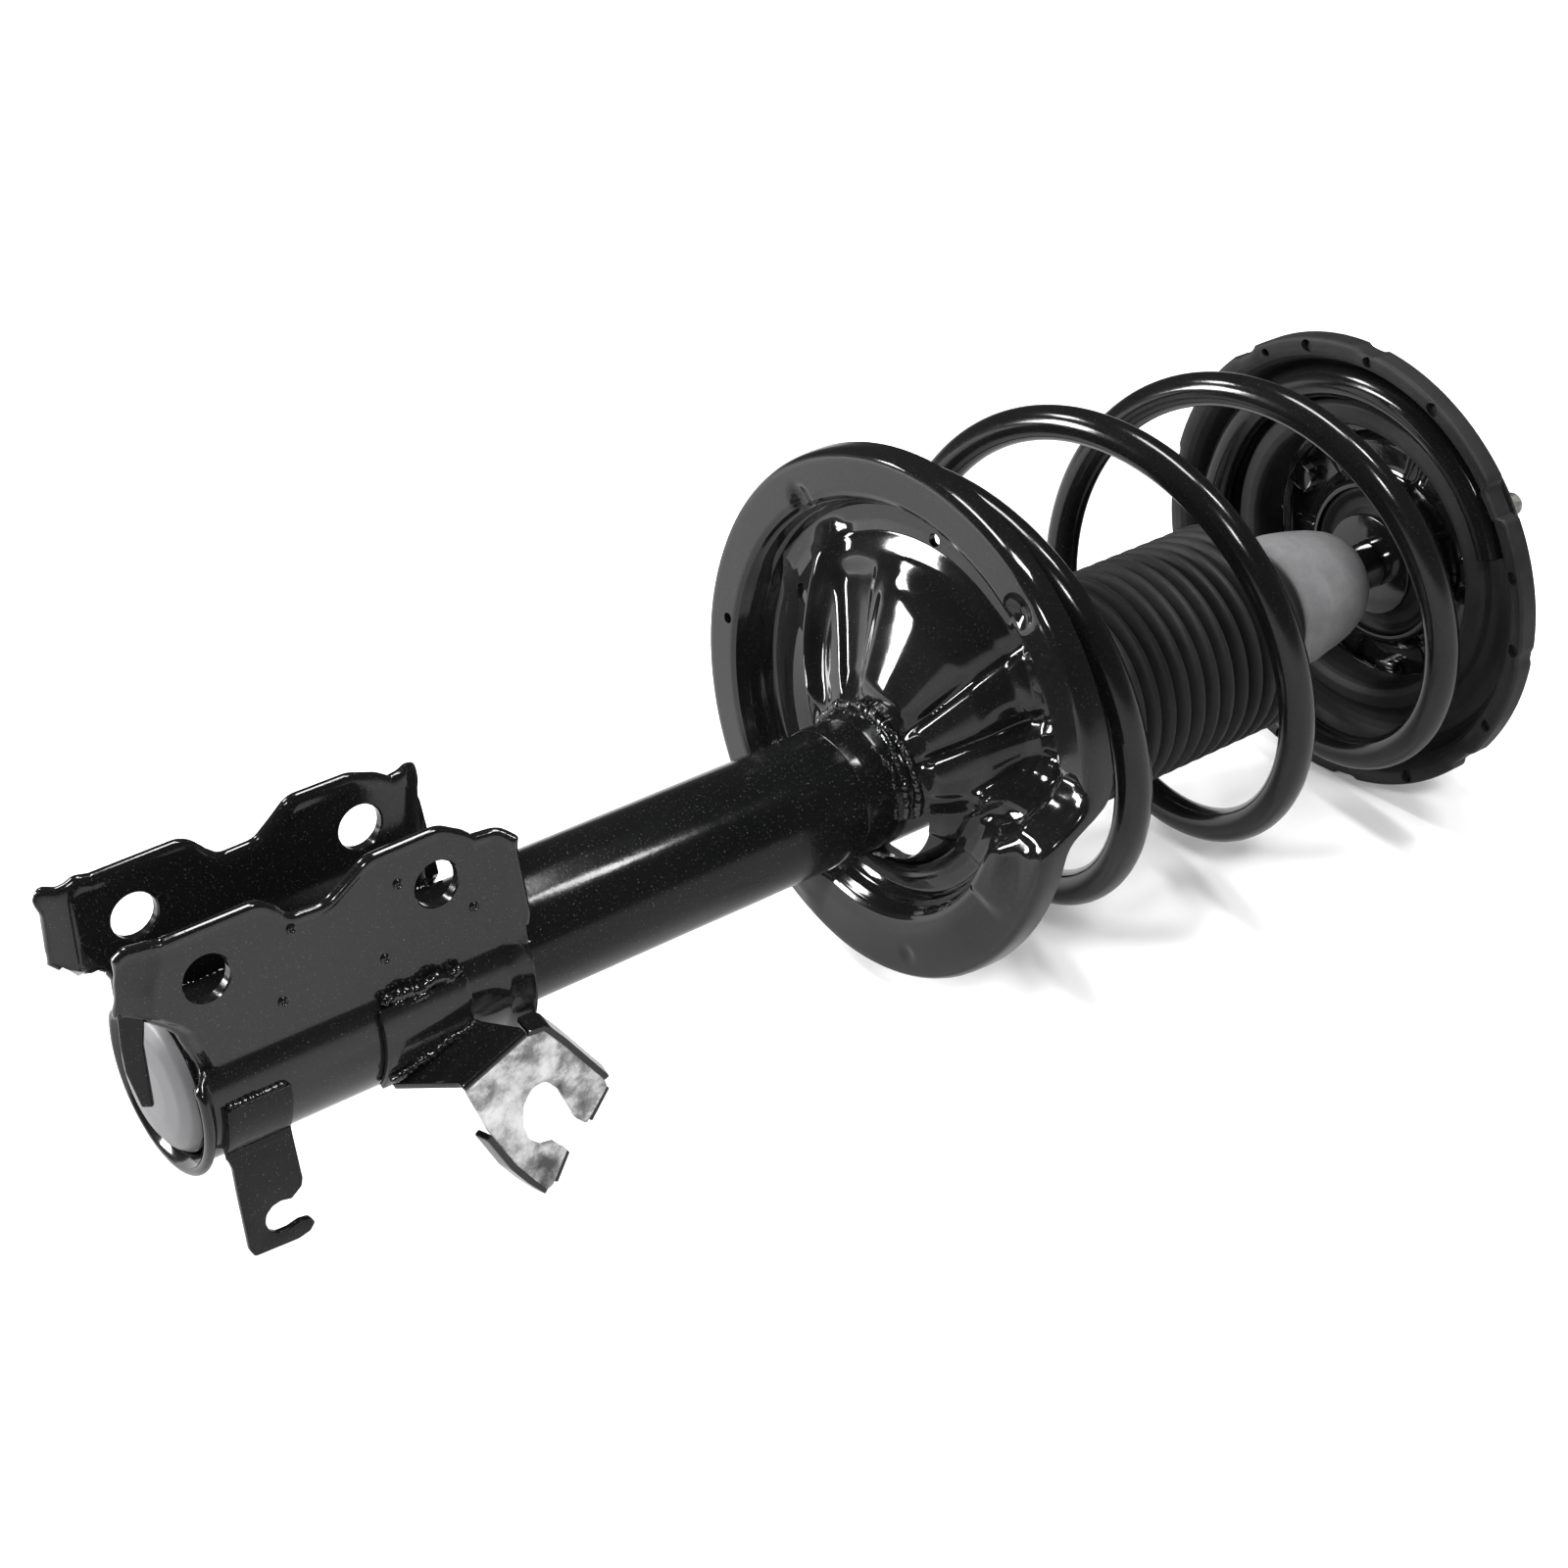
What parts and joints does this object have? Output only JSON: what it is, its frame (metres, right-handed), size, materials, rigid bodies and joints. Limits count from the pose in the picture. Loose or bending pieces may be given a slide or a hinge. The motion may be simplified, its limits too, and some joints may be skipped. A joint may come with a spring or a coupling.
{
  "type": "strut assembly",
  "caption": "Front suspension strut lying on its side: black damper tube with clevis knuckle bracket, coil spring between a pressed seat and the top mount, bellows boot and grey bump stop.",
  "frame": {"origin": "centre of the circle of mounting studs, on the rod's axis, in the plane of the top mount's bolting face", "axes": "+X along the strut's axis from the knuckle bracket towards the top mount, +Z towards the bracket's ears with their bolt holes, +Y across the ears; the hose bracket is on the -Y side"},
  "size_m": [0.6355, 0.2044, 0.2144],
  "materials": {
    "gloss_black": "gloss",
    "cap_grey": "satin",
    "spring_black": "gloss",
    "seat_black": "gloss",
    "mount_black": "gloss",
    "rubber_disc": "matt",
    "boot_rubber": "matt",
    "mount_rubber": "matt",
    "foam_grey": "matt",
    "seal_rubber": "satin",
    "zinc": "satin",
    "steel": "satin",
    "rod_chrome": "polished",
    "sintered": "satin",
    "band_ptfe": "matt",
    "cage_nylon": "matt",
    "bronze": "satin"
  },
  "bodies": {
    "strut_tube": {"outer_tube": "gloss_black", "end_cap": "cap_grey", "knuckle_bracket": "gloss_black", "hose_bracket": "gloss_black", "sensor_clip": "gloss_black", "lower_spring_seat": "seat_black", "seat_collar": "gloss_black", "lower_spring_pad": "seal_rubber", "gland_cap": "gloss_black", "rod_guide": "sintered", "guide_bushing": "bronze", "rod_seal": "seal_rubber", "seal_spring": "steel", "pressure_tube": "steel", "base_valve_body": "sintered", "base_valve_shims": "steel", "base_valve_rivet": "steel", "coil_spring": "spring_black", "dust_boot": "boot_rubber"},
    "upper_seat": {"upper_spring_seat": "mount_black", "upper_insulator": "rubber_disc", "bearing_lower_race": "steel"},
    "top_mount": {"bearing_balls": "steel", "bearing_cage": "cage_nylon", "bearing_upper_race": "steel", "mount_shell": "mount_black", "mount_rubber": "mount_rubber", "mount_sleeve": "steel", "mount_studs": "zinc", "lower_washer": "steel", "upper_washer": "steel", "rod_nut": "zinc", "piston_rod": "rod_chrome", "piston": "sintered", "piston_band": "band_ptfe", "rebound_shims": "steel", "compression_shims": "steel", "piston_nut": "steel", "rebound_collar": "steel", "rebound_bumper": "seal_rubber", "bump_stop": "foam_grey"}
  },
  "joints": [
    {"name": "rod_travel", "type": "slide", "parent": "strut_tube", "child": "upper_seat", "axis": [-1, 0, 0], "range_m": [0, 0.12], "stiffness_N_per_m": 20000, "springref_m": -0.005, "deforming": ["coil_spring", "dust_boot"]},
    {"name": "bearing_turn", "type": "hinge", "parent": "upper_seat", "child": "top_mount", "pos_m": [0, 0, 0], "axis": [1, 0, 0], "continuous": true}
  ]
}
